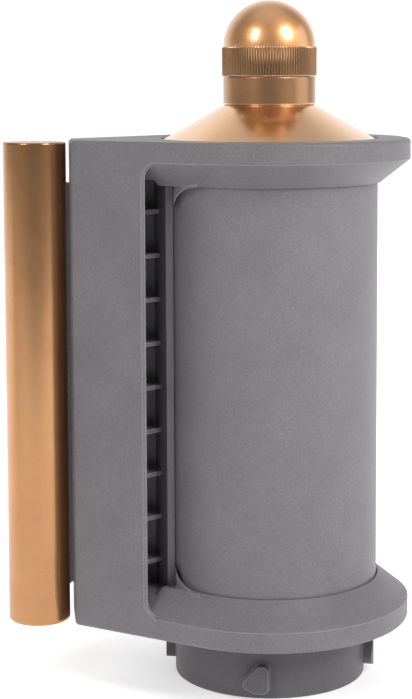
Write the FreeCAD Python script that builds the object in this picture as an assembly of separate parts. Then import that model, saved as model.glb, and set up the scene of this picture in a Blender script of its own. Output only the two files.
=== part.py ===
"""Daylight film developing tank: a drum that turns in a moulded frame with a grip tube.

Millimetres, +Z up. The origin is on the drum's axis at the face that the tank stands on. The grip
tube is on the -X side. Every function makes one piece, and write_parts() saves each as a STEP file.
"""

import math
import os

import FreeCAD
import Part

V = FreeCAD.Vector
UP = V(0, 0, 1)

# ---- driving dimensions ----
DRUM_R = 45.0
DRUM_WALL = 2.5
COLLAR_R = 58.4
FRAME_Z0 = 24.5
FRAME_Z1 = 225.5
RIM_HEIGHT = 8.5
FLARE_HEIGHT = 9.6
GRIP_X = -97.2
GRIP_R = 12.9
GRIP_BORE_R = 10.4
SPINE_END_X = -82.9
WINDOW_X = -54.4
SKIN = 3.4
SPINE_WALL = 3.0
CRADLE_WALL = 2.8
CRADLE_TIP_X = -42.0
CRADLE_TIP_Y = 17.5
CRADLE_CORNER = 8.0
WINDOW_CORNER = 7.0
WINDOW_BEVEL = 2.1
WINDOW_BEVEL_DEPTH = 1.6
LIP = 0.9
BASE_R = 40.0
LUG_R = 44.2
LUG_ANGLES = [254 + 90 * i for i in range(4)]
CAP_R = 19.0
KNURL_R = 19.55
KNURL_TEETH = 104
REEL_COUNT = 4
REEL_R = 41.0
REEL_HEIGHT = 42.0
RUNNING = 0.06
CLEAR = 0.4

# ---- worked out from them ----
FRAME_MID = (FRAME_Z0 + FRAME_Z1) / 2
TAPER = math.asin(COLLAR_R / -GRIP_X)
WINDOW_Z0 = FRAME_Z0 + RIM_HEIGHT
WINDOW_Z1 = FRAME_Z1 - RIM_HEIGHT
THROAT_Z0 = WINDOW_Z0 + FLARE_HEIGHT
THROAT_Z1 = WINDOW_Z1 - FLARE_HEIGHT
BORE_R = DRUM_R + CLEAR
CRADLE_R = BORE_R + CRADLE_WALL
BUSH_WALL = 2.0
BUSH_HEIGHT = 6.0

# ---- the spine: nine ribs between its skins and the cradle ----
RIB_COUNT = 9
RIB_PITCH = 18.1
RIB_MID_Z = 124.0
RIB_THICK = 1.7
CAVITY_Z0 = THROAT_Z0 - 2.5
CAVITY_Z1 = THROAT_Z1 + 2.5
CAVITY_END_X = SPINE_END_X + 3.6

# ---- the web that carries the grip ----
WEB_Z0 = 40.2
WEB_Z1 = 208.4
WEB_THICK = 6.0
RAIL_R = 6.5
GRIP_Z0 = 25.0
GRIP_Z1 = 224.6
PLUG_LENGTH = 9.0

# ---- drum, base and reels ----
DRUM_Z0 = FRAME_Z0 + 3.6
DRUM_Z1 = 221.6
DRUM_FLOOR = 4.0
DRUM_INNER_R = DRUM_R - DRUM_WALL
BASE_WALL = 4.0
BASE_FLOOR = 4.0
BASE_Z1 = DRUM_Z0 - 1.0
LUG_Z0 = 3.2
LUG_Z1 = 14.6
LUG_WIDTH = 10.5
LUG_NOSE_R = 2.9
LUG_CORNER_R = 2.2
SCREW_CIRCLE_R = 27.0
SCREW_R = 2.0
SCREW_HEAD_R = 3.6
SCREW_HEAD = 3.0
BOSS_R = 5.0
BOSS_TOP = DRUM_Z0 + DRUM_FLOOR + 5.0
REEL_Z0 = BOSS_TOP + 1.5
REEL_WIRE = 1.6
REEL_GAP = 0.4
REEL_CORE_R = 11.0
SPIRAL_START_R = 13.4
REEL_TURNS = 7
LIFTER_R = 2.2
LIFTER_KNOB_R = 3.0
LIFTER_FOOT_R = 14.0

# ---- lid and cap ----
LID_RIM_R = 44.7
LID_EDGE_Z = 224.5
CONE_TOP_R = 19.2
CONE_SLOPE = math.radians(29.6)
CONE_WALL = 2.2
CONE_TOP_Z = LID_EDGE_Z + (LID_RIM_R - CONE_TOP_R) * math.tan(CONE_SLOPE)
SKIRT_DEPTH = 11.0
SKIRT_R = DRUM_INNER_R - 0.35
SKIRT_WALL = 2.6
SEAL_WIRE_R = 0.85
SEAL_GROOVE = 1.7
SEAL_Z = DRUM_Z1 - 6.0
POUR_R = 14.0
NECK_Z0 = CONE_TOP_Z + 0.02
NECK_Z1 = 250.6
SPIGOT_R = 16.6
SPIGOT_Z1 = 260.4
TAIL_R = 16.0
TAIL_Z0 = 231.5
NUT_R = 20.0
NUT_HEIGHT = 3.2
BAFFLE_R = 30.0
BAFFLE_Z = 215.5
BAFFLE_WALL = 1.6
BAFFLE_POST_RING = 24.0
KNURL_Z0 = NECK_Z1 + 0.2
KNURL_Z1 = 263.1
CAP_WALL = 2.0
LINER_WALL = 1.0


# ---- helpers ----
def polar(radius, degrees, z=0.0):
    """A point at a radius and an angle about Z."""
    turn = math.radians(degrees)
    return V(radius * math.cos(turn), radius * math.sin(turn), z)


def tube(outer, inner, z0, z1, x=0.0):
    """An upright tube about an axis at x."""
    body = Part.makeCylinder(outer, z1 - z0, V(x, 0, z0))
    return body.cut(Part.makeCylinder(inner, z1 - z0 + 2, V(x, 0, z0 - 1)))


def turned(points):
    """A solid of revolution about Z from (radius, height) points."""
    loop = [V(r, 0, z) for r, z in points]
    face = Part.Face(Part.makePolygon(loop + loop[:1]))
    return face.revolve(V(0, 0, 0), UP, 360)


def prism(points, z0, z1):
    """An upright prism from (x, y) points."""
    loop = [V(x, y, z0) for x, y in points]
    face = Part.Face(Part.makePolygon(loop + loop[:1]))
    return face.extrude(V(0, 0, z1 - z0))


def level_edges(solid, z):
    """The edges of a solid that lie flat at a height."""
    return [e for e in solid.Edges if abs(e.BoundBox.ZMin - z) < 1e-4 and abs(e.BoundBox.ZMax - z) < 1e-4]


def softened(solid, edges, radius):
    """The solid with those edges rounded, or unchanged where the rounding has no valid result."""
    try:
        rounded = solid.makeFillet(radius, edges)
    except Part.OCCError:
        return solid
    return rounded if rounded.isValid() and rounded.Volume > 0 else solid


def drop_outline(inset, z):
    """The frame's plan outline at a height, moved inwards: a circle with two tangent flanks."""
    radius = COLLAR_R - inset
    apex = -radius / math.sin(TAPER)
    reach = (SPINE_END_X - apex) * math.tan(TAPER)
    tangent_angle = 180 - math.degrees(math.pi / 2 - TAPER)
    upper, lower = polar(radius, tangent_angle, z), polar(radius, -tangent_angle, z)
    end_upper, end_lower = V(SPINE_END_X, reach, z), V(SPINE_END_X, -reach, z)
    return Part.Wire(
        [
            Part.makeLine(end_lower, lower),
            Part.Arc(lower, V(radius, 0, z), upper).toShape(),
            Part.makeLine(upper, end_upper),
            Part.makeLine(end_upper, end_lower),
        ]
    )


def rounded_window(x0, z0, z1, radius):
    """A prism along Y that is open to the right, with its two left corners rounded."""
    right, deep = COLLAR_R + 10, COLLAR_R + 20
    block = Part.makeBox(right - x0, 2 * deep, z1 - z0, V(x0, -deep, z0))
    corners = [
        e
        for e in block.Edges
        if abs(e.BoundBox.XMin - x0) < 1e-4 and abs(e.BoundBox.XMax - x0) < 1e-4 and e.BoundBox.YLength > deep
    ]
    return block.makeFillet(radius, corners)


def flank_window(side, left, depth, corner):
    """The window's outline on a plane parallel to one flank, open to the right, as a closed wire."""
    along = V(math.cos(TAPER), side * math.sin(TAPER), 0)
    inwards = V(math.sin(TAPER), -side * math.cos(TAPER), 0)
    start = V(WINDOW_X, side * skin_y(WINDOW_X, 0), 0) + inwards * depth
    low, high, right = WINDOW_Z0 - 0.5, WINDOW_Z1 + 0.5, 24.0

    def at(u, z):
        return start + along * u + V(0, 0, z)

    mid = corner * (1 - math.sqrt(0.5))
    return Part.Wire(
        [
            Part.makeLine(at(right, low), at(left + corner, low)),
            Part.Arc(at(left + corner, low), at(left + mid, low + mid), at(left, low + corner)).toShape(),
            Part.makeLine(at(left, low + corner), at(left, high - corner)),
            Part.Arc(at(left, high - corner), at(left + mid, high - mid), at(left + corner, high)).toShape(),
            Part.makeLine(at(left + corner, high), at(right, high)),
            Part.makeLine(at(right, high), at(right, low)),
        ]
    )


def window_bevel(side):
    """The sloped border of the window on one flank, widest at the surface."""
    spill = WINDOW_BEVEL / WINDOW_BEVEL_DEPTH
    outer = flank_window(side, -WINDOW_BEVEL - 0.5 * spill, -0.5, WINDOW_CORNER + 1.5)
    inner = flank_window(side, 0.3, WINDOW_BEVEL_DEPTH + 0.23, WINDOW_CORNER)
    return Part.makeLoft([outer, inner], True)


def cradle_trim():
    """What is taken off the cradle's two edges so that they end in faces square to Y."""
    low, height = THROAT_Z0, THROAT_Z1 - THROAT_Z0
    depth = COLLAR_R - CRADLE_TIP_Y
    length = CRADLE_R + 1.0 + CRADLE_TIP_X
    front = Part.makeBox(length, depth, height, V(CRADLE_TIP_X - length, -COLLAR_R, low))
    back = Part.makeBox(length, depth, height, V(CRADLE_TIP_X - length, CRADLE_TIP_Y, low))
    return front.fuse(back)


# ---- frame ----
def flare(throat_z, rim_z, end_z):
    """One collar: a rim with the outline of the frame and a sloped inner side down to the drum."""
    inset = COLLAR_R - BORE_R - LIP
    slope = Part.makeLoft([drop_outline(inset, throat_z), drop_outline(0, rim_z)], True)
    rim = Part.Face(drop_outline(0, rim_z)).extrude(V(0, 0, end_z - rim_z))
    return slope.fuse(rim)


def skin_y(x, inset):
    """Half the width of the spine at x, measured to a flank moved inwards."""
    return (COLLAR_R - inset + x * math.sin(TAPER)) / math.cos(TAPER)


def cavity_plan():
    """Half-widths of the hollow between the skins, ending on a line from the window to the cradle's tip."""
    tip = polar(CRADLE_R, 158)
    mouth_x = WINDOW_X + 0.4
    upper = [
        (CAVITY_END_X, skin_y(CAVITY_END_X, SKIN)),
        (mouth_x, skin_y(mouth_x, SKIN)),
        (tip.x, tip.y),
    ]
    return upper + [(x, -y) for x, y in reversed(upper)]


def rib_plan():
    """A rib's outline: it fills the hollow up to a front edge that is set back behind the skins."""
    upper = [
        (CAVITY_END_X - 1, skin_y(CAVITY_END_X - 1, SKIN - 0.6)),
        (-62.0, skin_y(-62.0, SKIN - 0.6)),
        (-46.6, 10.6),
    ]
    return upper + [(x, -y) for x, y in reversed(upper)]


def spine_core():
    """What stands in the spine's hollow: the cradle, a middle wall behind it and the ribs."""
    wall_length = -SPINE_END_X - DRUM_R
    core = Part.makeBox(wall_length, SPINE_WALL, FRAME_Z1, V(SPINE_END_X, -SPINE_WALL / 2, 0))
    core = core.fuse(Part.makeCylinder(CRADLE_R, FRAME_Z1, V(0, 0, 0)))
    for i in range(RIB_COUNT):
        z = RIB_MID_Z + (i - (RIB_COUNT - 1) / 2) * RIB_PITCH
        core = core.fuse(prism(rib_plan(), z - RIB_THICK / 2, z + RIB_THICK / 2))
    return core


def grip_web():
    """The web and round rail that hold the grip, with round ends in the slots above and below."""
    gap_mid = (SPINE_END_X + GRIP_X + GRIP_R) / 2
    gap_r = (SPINE_END_X - GRIP_X - GRIP_R) / 2
    length = SPINE_END_X + 1 - GRIP_X
    web = Part.makeBox(length, WEB_THICK, WEB_Z1 - WEB_Z0, V(GRIP_X, -WEB_THICK / 2, WEB_Z0))
    for z in (WEB_Z0, WEB_Z1):
        web = web.cut(Part.makeCylinder(gap_r, 2 * WEB_THICK, V(gap_mid, -WEB_THICK, z), V(0, 1, 0)))
    return web.fuse(Part.makeCylinder(RAIL_R, WEB_Z1 - WEB_Z0, V(GRIP_X, 0, WEB_Z0)))


def frame_shell():
    """The moulded frame: two collars, the ribbed spine between them and the cradle round the drum."""
    outline = drop_outline(0, FRAME_Z0)
    body = Part.Face(outline).extrude(V(0, 0, FRAME_Z1 - FRAME_Z0))
    end_edges = [
        e
        for e in body.Edges
        if abs(e.BoundBox.XMax - SPINE_END_X) < 1e-4 and e.BoundBox.ZLength > 100
    ]
    body = softened(body, end_edges, 2.2)
    body = softened(body, level_edges(body, FRAME_Z0) + level_edges(body, FRAME_Z1), 1.6)
    collars = flare(THROAT_Z0, WINDOW_Z0, FRAME_Z0 - 1).fuse(flare(THROAT_Z1, WINDOW_Z1, FRAME_Z1 + 1))
    window = rounded_window(WINDOW_X, WINDOW_Z0 - 0.5, WINDOW_Z1 + 0.5, WINDOW_CORNER).cut(collars)
    core = spine_core()
    body = body.cut(window.cut(core))
    for side in (1, -1):
        body = body.cut(window_bevel(side).cut(collars))
    body = body.cut(rounded_window(CRADLE_TIP_X, THROAT_Z0, THROAT_Z1, CRADLE_CORNER))
    past_corner = CRADLE_TIP_X + CRADLE_CORNER
    body = body.cut(rounded_window(past_corner, WINDOW_Z0 - 0.5, WINDOW_Z1 + 0.5, 1.0).cut(collars))
    body = body.cut(cradle_trim())
    body = body.cut(prism(cavity_plan(), CAVITY_Z0, CAVITY_Z1).cut(core))
    body = body.fuse(grip_web())
    body = body.cut(Part.makeCylinder(BORE_R, FRAME_Z1, V(0, 0, DRUM_Z0 - CLEAR)))
    body = body.cut(Part.makeCylinder(BASE_R + CLEAR, FRAME_Z1, V(0, 0, 0)))
    for z0 in (DRUM_Z0 + 1.0, FRAME_Z1 - 4.5 - BUSH_HEIGHT):
        body = body.cut(Part.makeCylinder(BORE_R + BUSH_WALL - RUNNING, BUSH_HEIGHT, V(0, 0, z0)))
    return body.removeSplitter()


def bush(z0):
    """A slippery ring let into a collar's bore, in which the drum turns."""
    return tube(BORE_R + BUSH_WALL - RUNNING, DRUM_R + RUNNING, z0, z0 + BUSH_HEIGHT)


def grip_tube():
    """The grip: a tube with rounded ends, slotted from below so that it slides down over the rail."""
    body = Part.makeCylinder(GRIP_R, GRIP_Z1 - GRIP_Z0, V(GRIP_X, 0, GRIP_Z0))
    body = softened(body, level_edges(body, GRIP_Z0), 1.8)
    body = softened(body, level_edges(body, GRIP_Z1), 0.7)
    body = body.cut(Part.makeCylinder(GRIP_BORE_R, 300, V(GRIP_X, 0, 0)))
    slot_w = WEB_THICK + 2 * CLEAR
    slot_top = WEB_Z1 + CLEAR
    return body.cut(Part.makeBox(GRIP_R + 5, slot_w, slot_top, V(GRIP_X, -slot_w / 2, 0)))


def grip_plug(z_outer, inward):
    """A plug that closes one end of the grip tube, drilled and countersunk for its screw."""
    z0 = min(z_outer, z_outer + inward * PLUG_LENGTH)
    body = Part.makeCylinder(GRIP_BORE_R, PLUG_LENGTH, V(GRIP_X, 0, z0))
    body = body.cut(Part.makeCylinder(SCREW_R + 0.1, 3 * PLUG_LENGTH, V(GRIP_X, 0, z0 - PLUG_LENGTH)))
    sink = Part.makeCone(4.0, SCREW_R, 2.4, V(GRIP_X, 0, z_outer), V(0, 0, inward))
    return body.cut(sink)


def countersunk_screw(x, z_outer, inward, length):
    """A countersunk screw with a hexagon socket, its head flush with a face at z_outer."""
    head = Part.makeCone(3.9, SCREW_R, 2.3, V(x, 0, z_outer), V(0, 0, inward))
    shank = Part.makeCylinder(SCREW_R, length, V(x, 0, z_outer), V(0, 0, inward))
    body = head.fuse(shank)
    return body.cut(hex_socket(V(x, 0, z_outer), V(0, 0, inward), 1.45, 1.8))


def hex_socket(at, inward, across_r, depth):
    """A hexagonal prism to cut into a screw's head."""
    loop = [at + polar(across_r, 60 * i) for i in range(7)]
    return Part.Face(Part.makePolygon(loop)).extrude(inward * depth)


def grip_screws():
    """The two screws, one in each plug, that hold it to the rail's ends."""
    length_top = GRIP_Z1 - WEB_Z1 + 8
    length_bottom = WEB_Z0 - GRIP_Z0 + 8
    top = countersunk_screw(GRIP_X, GRIP_Z1, -1, length_top)
    bottom = countersunk_screw(GRIP_X, GRIP_Z0, 1, length_bottom)
    return Part.makeCompound([top, bottom])


def rail_bores():
    """The two blind holes in the rail's ends that the grip's screws go into."""
    holes = Part.makeCylinder(SCREW_R, 10, V(GRIP_X, 0, WEB_Z0 - 1))
    return holes.fuse(Part.makeCylinder(SCREW_R, 10, V(GRIP_X, 0, WEB_Z1 - 9)))


# ---- drum ----
def drum_shell():
    """The drum: an open-topped can with four blind bosses on its floor for the base's screws."""
    body = Part.makeCylinder(DRUM_R, DRUM_Z1 - DRUM_Z0, V(0, 0, DRUM_Z0))
    body = softened(body, level_edges(body, DRUM_Z1), 0.8)
    floor_top = DRUM_Z0 + DRUM_FLOOR
    body = body.cut(Part.makeCylinder(DRUM_INNER_R, DRUM_Z1, V(0, 0, floor_top)))
    for angle in LUG_ANGLES:
        spot = polar(SCREW_CIRCLE_R, angle + 45, floor_top - 0.5)
        body = body.fuse(Part.makeCylinder(BOSS_R, BOSS_TOP - floor_top + 0.5, spot))
        hole = polar(SCREW_CIRCLE_R, angle + 45, DRUM_Z0 - 1)
        body = body.cut(Part.makeCylinder(SCREW_R, BOSS_TOP - DRUM_Z0 - 1, hole))
    return body.removeSplitter()


def lug(angle):
    """One bayonet lug: a flat-faced cam with a round top and a slanting leading side."""
    half = LUG_WIDTH / 2
    nose_r = LUG_NOSE_R
    low_r = LUG_CORNER_R
    outline = [
        Part.makeCylinder(nose_r, 1, V(0.0 + half - nose_r, LUG_Z1 - nose_r, 0)),
        Part.makeCylinder(low_r, 1, V(half - low_r, LUG_Z0 + low_r, 0)),
        Part.makeCylinder(low_r, 1, V(-half + low_r, LUG_Z0 + low_r + 1.4, 0)),
        Part.makeCylinder(low_r, 1, V(-half + low_r + 3.0, LUG_Z0 + low_r, 0)),
    ]
    nose, low_right, left, low_left = [V(c.BoundBox.Center.x, c.BoundBox.Center.y, 0) for c in outline]
    hull = [
        nose + V(nose_r, 0, 0),
        nose + V(0, nose_r, 0),
        nose + V(-nose_r * 0.74, nose_r * 0.67, 0),
        left + V(-low_r * 0.74, low_r * 0.67, 0),
        left + V(-low_r * 0.9, -low_r * 0.43, 0),
        low_left + V(-low_r * 0.43, -low_r * 0.9, 0),
        low_left + V(0, -low_r, 0),
        low_right + V(0, -low_r, 0),
        low_right + V(low_r, 0, 0),
    ]
    plate = Part.Face(Part.makePolygon(hull + hull[:1])).extrude(V(0, 0, 1))
    for disc in outline:
        plate = plate.fuse(disc)
    plate = plate.removeSplitter()
    depth = LUG_R + 3 - (BASE_R - 1.5)
    face = [f for f in plate.Faces if abs(f.CenterOfMass.z) < 1e-6 and abs(f.normalAt(0, 0).z) > 0.9]
    body = face[0].extrude(V(0, 0, depth))
    for extra in face[1:]:
        body = body.fuse(extra.extrude(V(0, 0, depth)))
    body.rotate(V(0, 0, 0), V(1, 0, 0), 90)
    body.rotate(V(0, 0, 0), UP, 90)
    body.translate(V(BASE_R - 1.5, 0, 0))
    body.rotate(V(0, 0, 0), UP, angle)
    return body.common(Part.makeCylinder(LUG_R, FRAME_Z0, V(0, 0, 0)))


def bayonet_base():
    """The drum's base: a cup with four lugs outside and four drilled pillars inside."""
    body = Part.makeCylinder(BASE_R, BASE_Z1, V(0, 0, 0))
    body = softened(body, level_edges(body, 0), 0.6)
    inner = Part.makeCylinder(BASE_R - BASE_WALL, BASE_Z1, V(0, 0, BASE_FLOOR))
    for angle in LUG_ANGLES:
        inner = inner.cut(Part.makeCylinder(BOSS_R, FRAME_Z1, polar(SCREW_CIRCLE_R, angle + 45)))
    body = body.cut(inner)
    for angle in LUG_ANGLES:
        body = body.fuse(lug(angle))
    for angle in LUG_ANGLES:
        spot = polar(SCREW_CIRCLE_R, angle + 45)
        body = body.cut(Part.makeCylinder(SCREW_R + 0.1, FRAME_Z1, spot))
        body = body.cut(Part.makeCylinder(SCREW_HEAD_R + 0.1, SCREW_HEAD + 1.0, spot))
    return body.removeSplitter()


def base_gasket():
    """The flat gasket between the base and the drum's floor."""
    return tube(BASE_R - 0.4, BASE_R - BASE_WALL, BASE_Z1, DRUM_Z0)


def base_screws():
    """Four socket screws, from below through the base's pillars into the drum's bosses."""
    screws = []
    for angle in LUG_ANGLES:
        spot = polar(SCREW_CIRCLE_R, angle + 45)
        head = Part.makeCylinder(SCREW_HEAD_R, SCREW_HEAD, spot + V(0, 0, 1.0))
        shank = Part.makeCylinder(SCREW_R, BOSS_TOP - 4.0, spot + V(0, 0, 1.0))
        socket = hex_socket(spot + V(0, 0, 1.0), UP, 1.7, 1.8)
        screws.append(head.fuse(shank).cut(socket))
    return Part.makeCompound(screws)


# ---- reels ----
def spiral():
    """A flat spiral of square wire, drawn as half-circles that are each a little wider than the last."""
    step = (REEL_R - REEL_WIRE - SPIRAL_START_R) / (2 * REEL_TURNS)
    ends = [(-1) ** (i + 1) * (SPIRAL_START_R + i * step) for i in range(2 * REEL_TURNS + 1)]
    half_wire = REEL_WIRE / 2

    def side(offset):
        """The points along one side of the wire, at the ends and the middle of each half-circle."""
        points = [V(ends[0] - offset, 0, 0)]
        for i, (start, end) in enumerate(zip(ends, ends[1:])):
            sign = 1 if end > start else -1
            radius = abs(end - start) / 2 + offset
            centre = (start + end) / 2
            points += [V(centre, sign * radius, 0), V(centre + sign * radius, 0, 0)]
        return points

    outer, inner = side(half_wire), side(-half_wire)
    edges = []
    for line in (outer, inner):
        for i in range(0, len(line) - 2, 2):
            edges.append(Part.Arc(line[i], line[i + 1], line[i + 2]).toShape())
    edges.append(Part.makeLine(outer[0], inner[0]))
    edges.append(Part.makeLine(outer[-1], inner[-1]))
    wire = Part.Wire(Part.__sortEdges__(edges))
    return Part.Face(wire).extrude(V(0, 0, REEL_WIRE))


def reel():
    """A stainless reel standing on Z = 0: two spirals with spokes, joined by a core of four posts."""
    sink = REEL_WIRE / 2 - 0.1
    cheek = spiral()
    spoke_length = REEL_R - 2 * REEL_WIRE - REEL_CORE_R
    for quarter in range(4):
        spoke = Part.makeBox(spoke_length, REEL_WIRE, REEL_WIRE, V(REEL_CORE_R, -REEL_WIRE / 2, -sink))
        spoke.rotate(V(0, 0, 0), UP, 45 + 90 * quarter)
        cheek = cheek.fuse(spoke)
    ring = tube(REEL_CORE_R + 0.9, REEL_CORE_R - 1.3, -sink, REEL_WIRE - 2 * sink)
    cheek = cheek.fuse(ring)
    low = cheek.translated(V(0, 0, sink))
    high = cheek.mirror(V(0, 0, 0), UP).translated(V(0, 0, REEL_HEIGHT - sink))
    body = low.fuse(high)
    for quarter in range(4):
        foot = polar(REEL_CORE_R - 0.2, 45 + 90 * quarter, 0.4)
        body = body.fuse(Part.makeCylinder(0.7, REEL_HEIGHT - 0.8, foot))
    return body


def reel_lifter():
    """The rod that lifts the reels out: a disc foot under the lowest reel, and a knob on top."""
    top = REEL_Z0 + REEL_COUNT * (REEL_HEIGHT + REEL_GAP) + 1.0
    foot_z = REEL_Z0 - 1.0
    body = Part.makeCylinder(LIFTER_R, top - foot_z, V(0, 0, foot_z))
    body = body.fuse(Part.makeCylinder(LIFTER_FOOT_R, 0.9, V(0, 0, foot_z)))
    return body.fuse(Part.makeSphere(LIFTER_KNOB_R, V(0, 0, top)))


# ---- lid ----
def lid_cone():
    """The lid: a cone with a rim that sits on the drum and a skirt that plugs its mouth."""
    fall = math.tan(CONE_SLOPE)
    under = CONE_WALL / math.cos(CONE_SLOPE)
    skirt_z = DRUM_Z1 - SKIRT_DEPTH
    outline = [
        (TAIL_R + RUNNING, CONE_TOP_Z),
        (CONE_TOP_R, CONE_TOP_Z),
        (LID_RIM_R - 0.5, LID_EDGE_Z + 0.5 * fall),
        (LID_RIM_R, LID_EDGE_Z - 0.4),
        (LID_RIM_R, DRUM_Z1 + 0.05),
        (SKIRT_R, DRUM_Z1 + 0.05),
        (SKIRT_R, SEAL_Z + SEAL_WIRE_R),
        (SKIRT_R - SEAL_GROOVE, SEAL_Z + SEAL_WIRE_R),
        (SKIRT_R - SEAL_GROOVE, SEAL_Z - SEAL_WIRE_R),
        (SKIRT_R, SEAL_Z - SEAL_WIRE_R),
        (SKIRT_R, skirt_z + 0.6),
        (SKIRT_R - 0.6, skirt_z),
        (SKIRT_R - SKIRT_WALL, skirt_z),
        (SKIRT_R - SKIRT_WALL, LID_EDGE_Z + (LID_RIM_R - SKIRT_R + SKIRT_WALL) * fall - under),
        (TAIL_R + RUNNING, CONE_TOP_Z + (CONE_TOP_R - TAIL_R - RUNNING) * fall - under),
    ]
    return turned(outline)


def lid_seal():
    """The O-ring in the skirt's groove, just clear of the drum's wall."""
    wire_r = SEAL_WIRE_R * 0.96
    return Part.makeTorus(DRUM_INNER_R - 0.3 - wire_r, wire_r, V(0, 0, SEAL_Z))


def pour_neck():
    """The turned neck on top of the lid: a plain sleeve, a spigot for the cap and a tail for its nut."""
    return turned(
        [
            (POUR_R, TAIL_Z0),
            (TAIL_R, TAIL_Z0),
            (TAIL_R, NECK_Z0),
            (CAP_R - 0.5, NECK_Z0),
            (CAP_R, NECK_Z0 + 0.5),
            (CAP_R, NECK_Z1 - 0.3),
            (CAP_R - 0.3, NECK_Z1),
            (SPIGOT_R, NECK_Z1),
            (SPIGOT_R, SPIGOT_Z1 - 0.6),
            (SPIGOT_R - 0.6, SPIGOT_Z1),
            (POUR_R, SPIGOT_Z1),
        ]
    )


def neck_nut():
    """The nut under the lid that clamps the neck, with two flats."""
    z1 = CONE_TOP_Z + (CONE_TOP_R - NUT_R) * math.tan(CONE_SLOPE) - CONE_WALL / math.cos(CONE_SLOPE) - 0.1
    body = tube(NUT_R, TAIL_R + 0.02, z1 - NUT_HEIGHT, z1)
    return body.common(Part.makeBox(2 * NUT_R, 2 * NUT_R - 4, NUT_HEIGHT, V(-NUT_R, 2 - NUT_R, z1 - NUT_HEIGHT)))


def post_top(radius):
    """The height of the lid's underside at a radius."""
    return CONE_TOP_Z + (CONE_TOP_R - radius) * math.tan(CONE_SLOPE) - CONE_WALL / math.cos(CONE_SLOPE)


def light_baffle():
    """The dished plate under the pouring hole that keeps light out, on three posts."""
    body = turned(
        [
            (0, BAFFLE_Z),
            (BAFFLE_R - 2, BAFFLE_Z),
            (BAFFLE_R, BAFFLE_Z + 2),
            (BAFFLE_R, BAFFLE_Z + 6),
            (BAFFLE_R - BAFFLE_WALL, BAFFLE_Z + 6),
            (BAFFLE_R - BAFFLE_WALL, BAFFLE_Z + 2.6),
            (BAFFLE_R - 2.6, BAFFLE_Z + BAFFLE_WALL),
            (0, BAFFLE_Z + BAFFLE_WALL),
        ]
    )
    for i in range(3):
        spot = polar(BAFFLE_POST_RING - 1, 120 * i, BAFFLE_Z + 1)
        body = body.fuse(Part.makeCylinder(2.4, post_top(BAFFLE_POST_RING + 1.4) - BAFFLE_Z - 1.1, spot))
    for i in range(3):
        hole = polar(BAFFLE_POST_RING - 1, 120 * i, BAFFLE_Z - 1)
        body = body.cut(Part.makeCylinder(1.25, 60, hole))
    return body


def baffle_screws():
    """Three pan-headed screws that hold the baffle's posts to the lid."""
    screws = []
    for i in range(3):
        spot = polar(BAFFLE_POST_RING - 1, 120 * i, BAFFLE_Z)
        head = Part.makeCylinder(2.3, 1.4, spot - V(0, 0, 1.4))
        shank = Part.makeCylinder(1.2, post_top(BAFFLE_POST_RING + 1.4) - BAFFLE_Z + 1.0, spot - V(0, 0, 0.5))
        screws.append(head.fuse(shank))
    return Part.makeCompound(screws)


def baffle_screw_holes():
    """The blind holes in the lid's underside for the baffle's screws."""
    holes = []
    for i in range(3):
        spot = polar(BAFFLE_POST_RING - 1, 120 * i, BAFFLE_Z)
        holes.append(Part.makeCylinder(1.25, post_top(BAFFLE_POST_RING + 1.4) - BAFFLE_Z + 0.6, spot))
    return Part.makeCompound(holes)


# ---- cap ----
def knurled_band():
    """A straight-knurled band with bevelled ends, one tooth per step round it."""
    loop = []
    for i in range(KNURL_TEETH):
        step = 360.0 / KNURL_TEETH
        loop.append(polar(KNURL_R - 0.42, i * step, KNURL_Z0))
        loop.append(polar(KNURL_R, (i + 0.38) * step, KNURL_Z0))
        loop.append(polar(KNURL_R, (i + 0.62) * step, KNURL_Z0))
    teeth = Part.Face(Part.makePolygon(loop + loop[:1])).extrude(V(0, 0, KNURL_Z1 - KNURL_Z0))
    bevel = 0.5
    envelope = turned(
        [
            (0, KNURL_Z0),
            (KNURL_R - bevel, KNURL_Z0),
            (KNURL_R + 0.05, KNURL_Z0 + bevel),
            (KNURL_R + 0.05, KNURL_Z1 - bevel),
            (KNURL_R - bevel, KNURL_Z1),
            (0, KNURL_Z1),
        ]
    )
    return teeth.common(envelope)


def pour_cap():
    """The cap: a hollow dome over a knurled band."""
    dome = Part.makeSphere(CAP_R, V(0, 0, KNURL_Z1), UP, 0, 90, 360)
    body = dome.fuse(knurled_band())
    bore_r = SPIGOT_R + RUNNING + LINER_WALL
    body = body.cut(Part.makeCylinder(bore_r, KNURL_Z1 - KNURL_Z0, V(0, 0, KNURL_Z0 - 0.5)))
    inner = Part.makeSphere(CAP_R - CAP_WALL - 1.0, V(0, 0, KNURL_Z1 - 0.6), UP, 0, 90, 360)
    return body.cut(inner)


def cap_liner():
    """The threaded lining of the cap, a sleeve with a flange over the spigot's end."""
    outer = SPIGOT_R + RUNNING + LINER_WALL
    top = KNURL_Z1 - 0.6
    body = tube(outer - 0.01, SPIGOT_R + RUNNING, KNURL_Z0 + 0.6, top)
    return body.fuse(tube(outer - 0.01, SPIGOT_R - 3.5, top - 0.8, top))


def cap_seal():
    """The soft disc that the cap presses onto the spigot's end."""
    top = KNURL_Z1 - 0.6 - 0.8 - RUNNING
    return Part.makeCylinder(SPIGOT_R - 0.3, top - SPIGOT_Z1 - RUNNING, V(0, 0, SPIGOT_Z1 + RUNNING))


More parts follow.
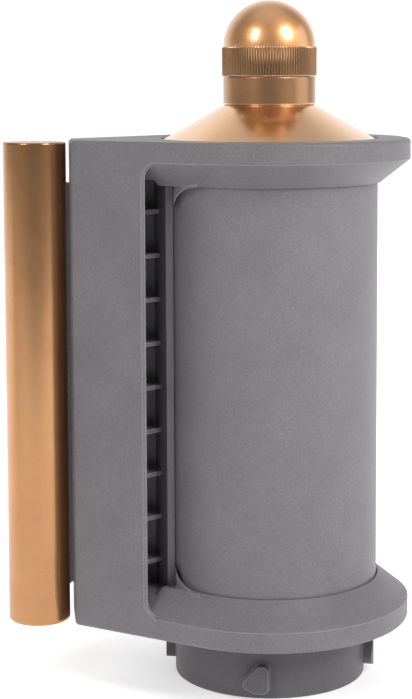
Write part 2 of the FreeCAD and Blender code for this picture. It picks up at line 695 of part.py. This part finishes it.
def build():
    """Every piece of the tank, by the name that it is saved under."""
    pieces = {
        "frame_shell": frame_shell().cut(rail_bores()),
        "upper_bush": bush(FRAME_Z1 - 4.5 - BUSH_HEIGHT),
        "lower_bush": bush(DRUM_Z0 + 1.0),
        "grip_tube": grip_tube(),
        "grip_plug_top": grip_plug(GRIP_Z1, -1),
        "grip_plug_bottom": grip_plug(GRIP_Z0, 1),
        "grip_screws": grip_screws(),
        "drum_shell": drum_shell(),
        "bayonet_base": bayonet_base(),
        "base_gasket": base_gasket(),
        "base_screws": base_screws(),
        "lid_cone": lid_cone().cut(baffle_screw_holes()),
        "lid_seal": lid_seal(),
        "pour_neck": pour_neck(),
        "neck_nut": neck_nut(),
        "light_baffle": light_baffle(),
        "baffle_screws": baffle_screws(),
        "pour_cap": pour_cap(),
        "cap_liner": cap_liner(),
        "cap_seal": cap_seal(),
        "reel_lifter": reel_lifter(),
    }
    pattern = reel()
    for index in range(REEL_COUNT):
        z = REEL_Z0 + index * (REEL_HEIGHT + REEL_GAP)
        pieces[f"reel_{index + 1}"] = pattern.translated(V(0, 0, z))
    return pieces


def write_parts():
    """Saves every piece as parts/NAME.step."""
    os.makedirs("parts", exist_ok=True)
    for name, shape in build().items():
        sound = shape.isValid() and all(s.Volume > 0 for s in shape.Solids)
        print(f"{name}: {len(shape.Solids)} solid(s), {shape.Volume / 1000:.2f} cm3, valid {sound}")
        shape.exportStep(f"parts/{name}.step")


write_parts()
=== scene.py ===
import math

import bmesh
import bpy
from mathutils import Matrix, Vector


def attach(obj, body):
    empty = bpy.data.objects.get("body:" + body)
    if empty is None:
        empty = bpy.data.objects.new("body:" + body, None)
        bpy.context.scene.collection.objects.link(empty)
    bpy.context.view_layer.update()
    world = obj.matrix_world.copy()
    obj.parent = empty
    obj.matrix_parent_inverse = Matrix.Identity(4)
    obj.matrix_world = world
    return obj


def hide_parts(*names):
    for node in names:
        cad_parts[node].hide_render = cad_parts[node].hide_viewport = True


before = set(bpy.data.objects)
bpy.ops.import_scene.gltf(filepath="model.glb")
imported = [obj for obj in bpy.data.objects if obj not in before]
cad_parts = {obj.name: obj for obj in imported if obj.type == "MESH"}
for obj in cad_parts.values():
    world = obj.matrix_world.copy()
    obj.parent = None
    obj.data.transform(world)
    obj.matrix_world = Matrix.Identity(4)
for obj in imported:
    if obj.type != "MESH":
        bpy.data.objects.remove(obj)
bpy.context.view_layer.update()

# The looks of a daylight film developing tank. The part's own nodes keep their shapes and get
# materials. The cap, the neck and the lid's cone are drawn again with a finer knurl and softer
# edges. Their sizes are in millimetres about the drum's axis, +Z up; mesh_object() makes them
# metres. Lights, camera and bump depths are in metres.
MM = 0.001

# ---- sizes, in millimetres, as in the part ----
CAP_R = 19.0
CAP_INNER_R = 16.1
CAP_BORE_R = 17.7
CAP_BAND_R = 18.6
KNURL_R = 19.55
KNURL_ROOT_R = 18.75
KNURL_INNER_R = 18.4
KNURL_Z0 = 250.8
KNURL_Z1 = 263.1
KNURL_TEETH = 104
DOME_FLOOR_Z = KNURL_Z1 - 0.6
BAND_FOOT_Z = KNURL_Z0 + 0.1
NECK_Z0 = 239.01
NECK_Z1 = 250.6
NECK_FOOT_IN = 0.35
NECK_FOOT_HEIGHT = 0.8
SPIGOT_R = 16.6
SPIGOT_Z1 = 260.4
POUR_R = 14.0
TAIL_R = 16.0
TAIL_Z0 = 231.5
CONE_TOP_R = 19.2
CONE_TOP_Z = 238.99
CONE_HOLE_R = TAIL_R + 0.06
CONE_RIM_R = 44.7
CONE_EDGE_Z = 224.5
CONE_EDGE_EASE = (0.3, 0.2)
CONE_SLOPE = 0.568
CONE_WALL_Z = 2.53
CONE_THROAT_Z = CONE_TOP_Z - CONE_WALL_Z + 1.7
DRUM_TOP_Z = 221.65
SKIRT_R = 42.15
SKIRT_INNER_R = 39.55
SKIRT_Z = 210.6
SEAL_Z = 215.6
SEAL_R = 0.85
SEAL_GROOVE = 1.7

# One tooth of the knurl: (share of the pitch, share of the tooth's height).
TOOTH = [(0.0, 0.0), (0.12, 0.05), (0.36, 0.9), (0.5, 1.0), (0.64, 0.9), (0.88, 0.05)]
# The bevel at the teeth's ends: (distance from the end, depth below the tips).
TOOTH_BEVEL = [(0.0, 0.75), (0.12, 0.5), (0.5, 0.05), (0.62, 0.0)]

# Bands of paler copper, painted highlights on the knurl's bevelled ends and the neck's foot: lowest and
# highest point of each, by piece.
HIGHLIGHT_BANDS = {
    "cap_knurl": [(KNURL_Z0 + 0.05, KNURL_Z0 + 0.5), (KNURL_Z1 - 0.5, KNURL_Z1 - 0.05)],
    "neck_sleeve": [(NECK_Z0 + 0.02, NECK_Z0 + 0.85)],
}
HIGHLIGHT_MIN_R = 18.3

# ---- studio, in metres and watts ----
ROOM_LEVEL = 0.25
BACKDROP_LEVEL = 1.05
BACKDROP_FROM, BACKDROP_TO = 0.35, 0.85
CEILING_LEVEL = 0.45
CEILING_FROM, CEILING_TO = 0.75, 1.0
# Name, place, point faced, width and height, power.
SOFTBOXES = [
    ("left_box", (-0.78, -0.72, 0.80), (-0.03, 0, 0.08), (0.34, 0.56), 4.4),
    ("right_box", (0.67, -0.78, 0.84), (0, 0, 0.08), (0.36, 0.56), 8.4),
    ("side_light", (1.3, -0.15, 0.45), (0, 0, 0.13), (1.0, 1.2), 3.2),
]
FLOOR_SIDE, FLOOR_FRONT, FLOOR_BACK = 3000, -900, 6000
FLOOR_GLOW_FRONT, FLOOR_GLOW_BACK = 0.27, 0.9
FLOOR_GLOW_FROM, FLOOR_GLOW_TO = -0.1, 0.25

# ---- camera, in radians, metres and millimetres of lens ----
CAMERA_YAW, CAMERA_PITCH, CAMERA_ROLL = 0.11636, 0.09571, -0.00373
CAMERA_PLACE = (-0.10865, -0.72337, 0.25317)
CAMERA_LENS = 90.6
CAMERA_SHIFT = (-0.0086, -0.157)


# ---- mesh helpers ----
def eased(profile, steps=4):
    """(radius, height, rounding) points as (radius, height) points with round corners."""
    flat = 0.6
    points = []
    count = len(profile)
    for i, (r, z, ease) in enumerate(profile):
        here = Vector((r, z))
        before = Vector(profile[i - 1][:2])
        after = Vector(profile[(i + 1) % count][:2])
        if ease == 0:
            points.append(here)
            continue
        back, ahead = (before - here).normalized(), (after - here).normalized()
        start, end = here + back * ease, here + ahead * ease
        points.append(start + back * ease * flat)
        for k in range(steps + 1):
            t = k / steps
            points.append(start * (1 - t) ** 2 + here * 2 * t * (1 - t) + end * t * t)
        points.append(end + ahead * ease * flat)
    return points


def mesh_object(name, verts, faces):
    """A smooth-shaded mesh object from points in millimetres."""
    mesh = bpy.data.meshes.new(name)
    mesh.from_pydata([tuple(c * MM for c in v) for v in verts], [], faces)
    mesh.polygons.foreach_set("use_smooth", [True] * len(mesh.polygons))
    obj = bpy.data.objects.new(name, mesh)
    bpy.context.scene.collection.objects.link(obj)
    bm = bmesh.new()
    bm.from_mesh(mesh)
    bmesh.ops.remove_doubles(bm, verts=bm.verts, dist=1e-7)
    bmesh.ops.recalc_face_normals(bm, faces=bm.faces)
    bm.to_mesh(mesh)
    bm.free()
    return obj


def lathe(name, profile, segments=256):
    """A closed (radius, height) profile turned about the drum's axis."""
    verts, faces = [], []
    rows = len(profile)
    for s in range(segments):
        a = 2 * math.pi * s / segments
        verts += [(p[0] * math.cos(a), p[0] * math.sin(a), p[1]) for p in profile]
    for s in range(segments):
        t = (s + 1) % segments
        for i in range(rows):
            j = (i + 1) % rows
            faces.append((s * rows + i, s * rows + j, t * rows + j, t * rows + i))
    return mesh_object(name, verts, faces)


def ring_faces(first, second, count):
    """The faces between two rings of points, from the first index of each."""
    pairs = [(k, (k + 1) % count) for k in range(count)]
    return [(first + k, first + n, second + n, second + k) for k, n in pairs]


def quarter(steps=40):
    """Angles from the rim to just short of the pole."""
    reach = math.pi / 2 * 0.9999
    return [reach * k / steps for k in range(steps + 1)]


def paint_highlight_band(obj, low, high, material):
    """Gives the outer faces between two heights, in millimetres, a second material: a paler copper that
    paints a highlight band.
    """
    obj.data.materials.append(material)
    for face in obj.data.polygons:
        middle = face.center
        if low * MM < middle.z < high * MM and Vector(middle.xy).length > HIGHLIGHT_MIN_R * MM:
            face.material_index = len(obj.data.materials) - 1


# ---- copper pieces ----
def cap_dome():
    """The hollow dome of the cap, down to the inside of its knurled band."""
    outer = [(CAP_R * math.cos(a), KNURL_Z1 + CAP_R * math.sin(a)) for a in quarter()]
    inner = [(CAP_INNER_R * math.cos(a), DOME_FLOOR_Z + CAP_INNER_R * math.sin(a)) for a in quarter()]
    lower = [(CAP_BORE_R, DOME_FLOOR_Z), (CAP_BORE_R, BAND_FOOT_Z), (CAP_BAND_R, BAND_FOOT_Z)]
    return lathe("cap_dome", outer + inner[::-1] + lower)


def cap_knurl():
    """The straight knurl: pointed teeth with bevelled ends round the cap's band."""
    rows = [(KNURL_Z0 + inwards, KNURL_R - depth) for inwards, depth in TOOTH_BEVEL]
    rows += [(KNURL_Z1 - inwards, KNURL_R - depth) for inwards, depth in reversed(TOOTH_BEVEL)]
    around = [
        ((tooth + share) / KNURL_TEETH * 2 * math.pi, rise)
        for tooth in range(KNURL_TEETH)
        for share, rise in TOOTH
    ]
    count = len(around)
    verts, faces = [], []
    for z, limit in rows:
        for a, rise in around:
            r = min(limit, KNURL_ROOT_R + (KNURL_R - KNURL_ROOT_R) * rise)
            verts.append((r * math.cos(a), r * math.sin(a), z))
    for i in range(len(rows) - 1):
        faces += ring_faces(i * count, (i + 1) * count, count)
    for outer_ring, z in ((0, KNURL_Z0), ((len(rows) - 1) * count, KNURL_Z1)):
        faces += ring_faces(outer_ring, len(verts), count)
        verts += [(KNURL_INNER_R * math.cos(a), KNURL_INNER_R * math.sin(a), z) for a, _ in around]
    return mesh_object("cap_knurl", verts, faces)


def neck():
    """The plain sleeve under the cap, with its eased foot, whose paler band is a painted highlight, and
    the spigot inside the cap.
    """
    profile = [
        (POUR_R, TAIL_Z0, 0),
        (TAIL_R, TAIL_Z0, 0),
        (TAIL_R, NECK_Z0, 0),
        (CAP_R - NECK_FOOT_IN, NECK_Z0, 0),
        (CAP_R, NECK_Z0 + NECK_FOOT_HEIGHT, 0.25),
        (CAP_R, NECK_Z1, 0.3),
        (SPIGOT_R, NECK_Z1, 0),
        (SPIGOT_R, SPIGOT_Z1, 0.4),
        (POUR_R, SPIGOT_Z1, 0.3),
    ]
    return lathe("neck_sleeve", eased(profile))


def cone():
    """The lid's cone with its eased rim, the skirt below it and the groove for the seal."""
    under_rim_z = CONE_EDGE_Z + (CONE_RIM_R - SKIRT_INNER_R) * CONE_SLOPE - CONE_WALL_Z
    profile = [
        (CONE_HOLE_R, CONE_TOP_Z, 0),
        (CONE_TOP_R, CONE_TOP_Z, 0.3),
        (CONE_RIM_R - CONE_EDGE_EASE[0], CONE_EDGE_Z + CONE_EDGE_EASE[1], 0.45),
        (CONE_RIM_R, DRUM_TOP_Z, 0.3),
        (SKIRT_R, DRUM_TOP_Z, 0),
        (SKIRT_R, SEAL_Z + SEAL_R, 0),
        (SKIRT_R - SEAL_GROOVE, SEAL_Z + SEAL_R, 0),
        (SKIRT_R - SEAL_GROOVE, SEAL_Z - SEAL_R, 0),
        (SKIRT_R, SEAL_Z - SEAL_R, 0),
        (SKIRT_R, SKIRT_Z, 0.5),
        (SKIRT_INNER_R, SKIRT_Z, 0.4),
        (SKIRT_INNER_R, under_rim_z, 0),
        (CONE_HOLE_R, CONE_THROAT_Z, 0),
    ]
    return lathe("lid_cone_shell", eased(profile))


# ---- materials ----
class Nodes:
    """A short way to add and join the nodes of one material."""

    def __init__(self, name):
        self.material = bpy.data.materials.new(name)
        self.material.use_nodes = True
        self.tree = self.material.node_tree
        self.shader = self.tree.nodes["Principled BSDF"]
        self.coords = self.tree.nodes.new("ShaderNodeTexCoord").outputs["Object"]

    def add(self, kind, inputs=None, **settings):
        """A node with its settings, and its inputs set to values or joined to sockets."""
        node = self.tree.nodes.new(kind)
        for key, value in settings.items():
            setattr(node, key, value)
        for key, value in (inputs or {}).items():
            self.put(node.inputs[key], value)
        return node

    def put(self, socket, value):
        """Sets a socket to a value, or joins it to another socket."""
        if isinstance(value, bpy.types.NodeSocket):
            self.tree.links.new(value, socket)
        else:
            socket.default_value = value

    def noise(self, scale, detail=3.0, stretch=(1, 1, 1), rough=0.55):
        """Noise in object space, with features 1 / scale metres wide."""
        mapped = self.add("ShaderNodeMapping", {"Vector": self.coords, "Scale": stretch})
        made = self.add(
            "ShaderNodeTexNoise",
            {"Vector": mapped.outputs[0], "Scale": scale, "Detail": detail, "Roughness": rough},
        )
        return made.outputs["Fac"]

    def ramp(self, factor, low, high, start=0.3, end=0.7):
        """A colour between two ends, by a factor."""
        made = self.add("ShaderNodeValToRGB", {"Fac": factor})
        stops = made.color_ramp.elements
        stops[0].position, stops[0].color = start, (*low, 1)
        stops[1].position, stops[1].color = end, (*high, 1)
        return made.outputs["Color"]

    def span(self, factor, low, high, start=0.0, end=1.0):
        """A number between two ends, by a factor."""
        made = self.add(
            "ShaderNodeMapRange",
            {"Value": factor, "From Min": start, "From Max": end, "To Min": low, "To Max": high},
        )
        return made.outputs["Result"]

    def blend(self, kind, factor, first, second):
        """Two colours mixed or multiplied by a factor."""
        inputs = {"Fac": factor, "Color1": first, "Color2": second}
        return self.add("ShaderNodeMixRGB", inputs, blend_type=kind).outputs[0]

    def bump(self, height, distance, strength=1.0, normal=None):
        """A bump whose full height is a distance in metres."""
        inputs = {"Height": height, "Distance": distance, "Strength": strength}
        if normal is not None:
            inputs["Normal"] = normal
        return self.add("ShaderNodeBump", inputs).outputs["Normal"]

    def edge_highlight_mask(self, radius):
        """How far the surface bends within a radius, 0 on flats and 1 on edges, and its soft normal. The
        first is the mask for painted edge highlights.
        """
        sharp, flat = 0.90, 0.985
        soft = self.add("ShaderNodeBevel", {"Radius": radius}, samples=6).outputs["Normal"]
        plain = self.add("ShaderNodeNewGeometry").outputs["Normal"]
        dot = self.add("ShaderNodeVectorMath", {0: soft, 1: plain}, operation="DOT_PRODUCT")
        return self.span(dot.outputs["Value"], 1.0, 0.0, sharp, flat), soft

    def shade(self, **values):
        """Sets inputs of the main shader; underscores stand for spaces."""
        for key, value in values.items():
            self.put(self.shader.inputs[key.replace("_", " ")], value)
        return self.material


def grey_moulding(name, dark, light, edge_radius=0.0009):
    """Grey plastic with a fine blasted grain, faint mottling and painted highlights on its edges."""
    # Edges are mixed towards a lighter grey: a painted highlight where the bevels would catch the light.
    edge_highlight_grey, edge_highlight_share = (0.42, 0.41, 0.43, 1), 0.65
    n = Nodes(name)
    grain = n.noise(5200.0, 2.0)
    speck = n.noise(1150.0, 5.0, rough=0.75)
    cloud = n.noise(38.0, 4.0)
    tint = n.ramp(speck, dark, light, 0.25, 0.75)
    mottle = n.blend("MULTIPLY", 1.0, tint, n.ramp(cloud, (0.84, 0.84, 0.85), (1.0, 0.99, 1.0)))
    edge, soft = n.edge_highlight_mask(edge_radius)
    share = n.add("ShaderNodeMath", {0: edge, 1: edge_highlight_share}, operation="MULTIPLY").outputs[0]
    return n.shade(
        Base_Color=n.blend("MIX", share, mottle, edge_highlight_grey),
        Roughness=n.span(speck, 0.40, 0.60),
        Normal=n.bump(speck, 0.00006, 0.8, n.bump(grain, 0.00004, 0.6, soft)),
        Specular_IOR_Level=0.45,
        Sheen_Weight=0.06,
    )


def copper(name, low, high, rough, turned, grain_depth, lacquer=0.0):
    """Copper-coloured metal: turning marks round the axis, grain, uneven polish, a clear coat and painted
    highlights on its edges.
    """
    # Edges are mixed towards a pale copper: a painted highlight.
    edge_highlight_copper = (0.95, 0.66, 0.48, 1)
    n = Nodes(name)
    rings = n.noise(1.0, 2.0, stretch=(40, 40, turned))
    grain = n.noise(6000.0, 2.0)
    cloud = n.noise(60.0, 4.0)
    smudge = n.noise(180.0, 5.0, rough=0.65)
    speck = n.noise(1600.0, 3.0, rough=0.7)
    edge, soft = n.edge_highlight_mask(0.0004)
    dulled = n.ramp(speck, (0.86,) * 3, (1.0,) * 3)
    tone = n.blend("MULTIPLY", 1.0, n.ramp(cloud, low, high), dulled)
    return n.shade(
        Base_Color=n.blend("MIX", edge, tone, edge_highlight_copper),
        Metallic=1.0,
        Roughness=n.span(smudge, rough * 0.94, rough * 1.08, 0.25, 0.75),
        Normal=n.bump(grain, grain_depth, 0.6, n.bump(rings, 0.000004, 0.5, soft)),
        Coat_Weight=lacquer,
        Coat_Roughness=0.16,
        Coat_IOR=2.0,
    )


def plain_metal(name, colour, rough):
    """Stainless wire and screws: drawn lines, fine pits and uneven shine."""
    n = Nodes(name)
    lines = n.noise(1.0, 3.0, stretch=(900, 900, 120))
    pits = n.noise(3000.0, 2.0)
    return n.shade(
        Base_Color=n.ramp(lines, tuple(c * 0.82 for c in colour), colour),
        Metallic=1.0,
        Roughness=n.span(pits, rough * 0.8, rough * 1.3),
        Normal=n.bump(pits, 0.00001, 0.4),
    )


def dark_plastic(name, colour, rough):
    """Black plastic or rubber: fine grain with dusty patches."""
    n = Nodes(name)
    grain = n.noise(4000.0, 2.0)
    dust = n.noise(240.0, 5.0, rough=0.7)
    dusty = tuple(c * 1.7 + 0.004 for c in colour)
    return n.shade(
        Base_Color=n.ramp(dust, colour, dusty, 0.4, 0.8),
        Roughness=n.span(dust, rough, min(1.0, rough * 1.2)),
        Normal=n.bump(grain, 0.00003, 0.5),
    )


def pale_floor(name):
    """A plain white table that glows by itself, more behind the tank than in front: a painted light that
    fades it into the backdrop.
    """
    n = Nodes(name)
    pale = n.ramp(n.noise(12.0), (0.93, 0.93, 0.93), (0.95, 0.95, 0.95))
    depth = n.add("ShaderNodeSeparateXYZ", {0: n.coords}).outputs["Y"]
    return n.shade(
        Base_Color=pale,
        Roughness=0.8,
        Emission_Color=(1, 1, 1, 1),
        Emission_Strength=n.span(
            depth, FLOOR_GLOW_FRONT, FLOOR_GLOW_BACK, FLOOR_GLOW_FROM, FLOOR_GLOW_TO
        ),
    )


def dress(obj, material):
    """Gives an object one material in every slot."""
    if not obj.material_slots:
        obj.data.materials.append(material)
    for holder in obj.material_slots:
        holder.material = material


# ---- studio ----
def camera():
    """The viewpoint: above the tank's middle, a little to the left, with a long lens."""
    yaw, pitch, roll = CAMERA_YAW, CAMERA_PITCH, CAMERA_ROLL
    forward = Vector((math.sin(yaw) * math.cos(pitch), math.cos(yaw) * math.cos(pitch), -math.sin(pitch)))
    level = Vector((math.cos(yaw), -math.sin(yaw), 0))
    upright = level.cross(forward)
    right = level * math.cos(roll) + upright * math.sin(roll)
    up = upright * math.cos(roll) - level * math.sin(roll)
    data = bpy.data.cameras.new("camera")
    data.lens = CAMERA_LENS
    data.shift_x, data.shift_y = CAMERA_SHIFT
    data.clip_start = 0.05
    data.clip_end = 20.0
    obj = bpy.data.objects.new("camera", data)
    bpy.context.scene.collection.objects.link(obj)
    turn = Matrix((right, up, -forward)).transposed().to_4x4()
    obj.matrix_world = Matrix.Translation(Vector(CAMERA_PLACE)) @ turn
    bpy.context.scene.camera = obj


def softbox(name, place, aim, size, power):
    """A rectangular white area light that faces a point."""
    data = bpy.data.lights.new(name, "AREA")
    data.shape = "RECTANGLE"
    data.size, data.size_y = size
    data.energy = power
    obj = bpy.data.objects.new(name, data)
    obj.location = place
    obj.rotation_mode = "QUATERNION"
    obj.rotation_quaternion = (Vector(aim) - Vector(place)).to_track_quat("-Z", "Y")
    bpy.context.scene.collection.objects.link(obj)


def surround():
    """A white backdrop behind the tank, a soft ceiling above it and a dimmer room in front."""
    world = bpy.data.worlds.new("studio")
    world.use_nodes = True
    tree = world.node_tree
    direction = tree.nodes.new("ShaderNodeTexCoord").outputs["Generated"]
    parts = tree.nodes.new("ShaderNodeSeparateXYZ")
    tree.links.new(direction, parts.inputs[0])
    total = tree.nodes.new("ShaderNodeMath")
    glows = (
        ("Y", BACKDROP_FROM, BACKDROP_TO, ROOM_LEVEL, BACKDROP_LEVEL),
        ("Z", CEILING_FROM, CEILING_TO, 0.0, CEILING_LEVEL),
    )
    for slot, (axis, start, end, low, high) in enumerate(glows):
        span = tree.nodes.new("ShaderNodeMapRange")
        span.interpolation_type = "SMOOTHSTEP"
        for name, value in (("From Min", start), ("From Max", end), ("To Min", low), ("To Max", high)):
            span.inputs[name].default_value = value
        tree.links.new(parts.outputs[axis], span.inputs["Value"])
        tree.links.new(span.outputs["Result"], total.inputs[slot])
    tree.links.new(total.outputs[0], tree.nodes["Background"].inputs["Strength"])
    tree.nodes["Background"].inputs["Color"].default_value = (1, 1, 1, 1)
    bpy.context.scene.world = world


def studio():
    """The surround, the softboxes and a pale floor, shown without film-like tone mapping."""
    surround()
    for box in SOFTBOXES:
        softbox(*box)
    corners = [
        (-FLOOR_SIDE, FLOOR_FRONT, 0),
        (FLOOR_SIDE, FLOOR_FRONT, 0),
        (FLOOR_SIDE, FLOOR_BACK, 0),
        (-FLOOR_SIDE, FLOOR_BACK, 0),
    ]
    floor = mesh_object("floor", corners, [(0, 1, 2, 3)])
    dress(floor, pale_floor("studio_floor"))
    bpy.context.scene.view_settings.view_transform = "Standard"


# ---- the tank ----
camera()
studio()

GREY = grey_moulding("grey_moulding", dark=(0.146, 0.138, 0.147), light=(0.238, 0.228, 0.240))
DRUM_GREY = grey_moulding(
    "drum_grey", dark=(0.156, 0.149, 0.157), light=(0.244, 0.235, 0.246), edge_radius=0.0006
)
# The base takes a darker copy of the grey moulding: painted shade under the bottom collar.
BASE_GREY_SHADED = grey_moulding("base_grey_painted_shade", dark=(0.090, 0.085, 0.090), light=(0.142, 0.134, 0.141))
GLOSS = copper(
    "copper_gloss", low=(0.50, 0.255, 0.12), high=(0.57, 0.30, 0.15),
    rough=0.33, turned=4200, grain_depth=0.000006, lacquer=0.3,
)
# A lighter copy of the gloss copper for the lid's cone: painted light on its sloping face.
CONE_LIT_COPPER = copper(
    "copper_cone_painted_light", low=(0.90, 0.48, 0.19), high=(0.96, 0.54, 0.24),
    rough=0.19, turned=4200, grain_depth=0.000003, lacquer=0.8,
)
# A lighter copy of the gloss copper for the dome: painted light on the cap's top.
DOME_LIT_COPPER = copper(
    "copper_dome_painted_light", low=(0.84, 0.40, 0.14), high=(0.92, 0.45, 0.165),
    rough=0.40, turned=4200, grain_depth=0.000005, lacquer=1.0,
)
# A darker copy of the copper for the knurl: painted shade between and along the teeth, on the same copper
# as the dome.
KNURL_SHADED_COPPER = copper(
    "copper_knurl_painted_shade", low=(0.40, 0.215, 0.105), high=(0.48, 0.265, 0.135),
    rough=0.33, turned=900, grain_depth=0.000004,
)
# A paler copper for the highlight bands: painted highlights where the bevelled ends and the eased foot
# catch the light.
HIGHLIGHT_BAND_COPPER = copper(
    "copper_highlight_band", low=(0.84, 0.58, 0.42), high=(0.90, 0.66, 0.50),
    rough=0.30, turned=900, grain_depth=0.000004,
)
SATIN = copper(
    "copper_satin", low=(0.56, 0.285, 0.134), high=(0.61, 0.319, 0.154),
    rough=0.235, turned=40, grain_depth=0.000004,
)
STEEL = plain_metal("stainless", colour=(0.62, 0.61, 0.60), rough=0.24)
BLACK = dark_plastic("black_plastic", colour=(0.016, 0.016, 0.017), rough=0.45)
RUBBER = dark_plastic("black_rubber", colour=(0.02, 0.019, 0.018), rough=0.75)

NODE_LOOKS = {
    GREY: ["frame_shell"],
    BASE_GREY_SHADED: ["bayonet_base"],
    DRUM_GREY: ["drum_shell"],
    GLOSS: ["lid_cone", "pour_neck", "pour_cap"],
    SATIN: ["grip_tube", "grip_plug_top", "grip_plug_bottom"],
    STEEL: [
        "grip_screws", "base_screws", "neck_nut", "baffle_screws", "reel_lifter",
        "reel_1", "reel_2", "reel_3", "reel_4",
    ],
    BLACK: ["upper_bush", "lower_bush", "light_baffle", "cap_liner"],
    RUBBER: ["base_gasket", "lid_seal", "cap_seal"],
}
for look, names in NODE_LOOKS.items():
    for node_name in names:
        dress(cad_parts[node_name], look)

PIECES = [
    (cap_dome(), "cap", DOME_LIT_COPPER, ["pour_cap"]),
    (cap_knurl(), "cap", KNURL_SHADED_COPPER, []),
    (neck(), "lid", GLOSS, ["pour_neck"]),
    (cone(), "lid", CONE_LIT_COPPER, ["lid_cone"]),
]
for piece, body, look, stands_for in PIECES:
    dress(piece, look)
    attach(piece, body)
    if stands_for:
        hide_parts(*stands_for)
    # The highlight bands are painted in the paler copper.
    for low, high in HIGHLIGHT_BANDS.get(piece.name, []):
        paint_highlight_band(piece, low, high, HIGHLIGHT_BAND_COPPER)
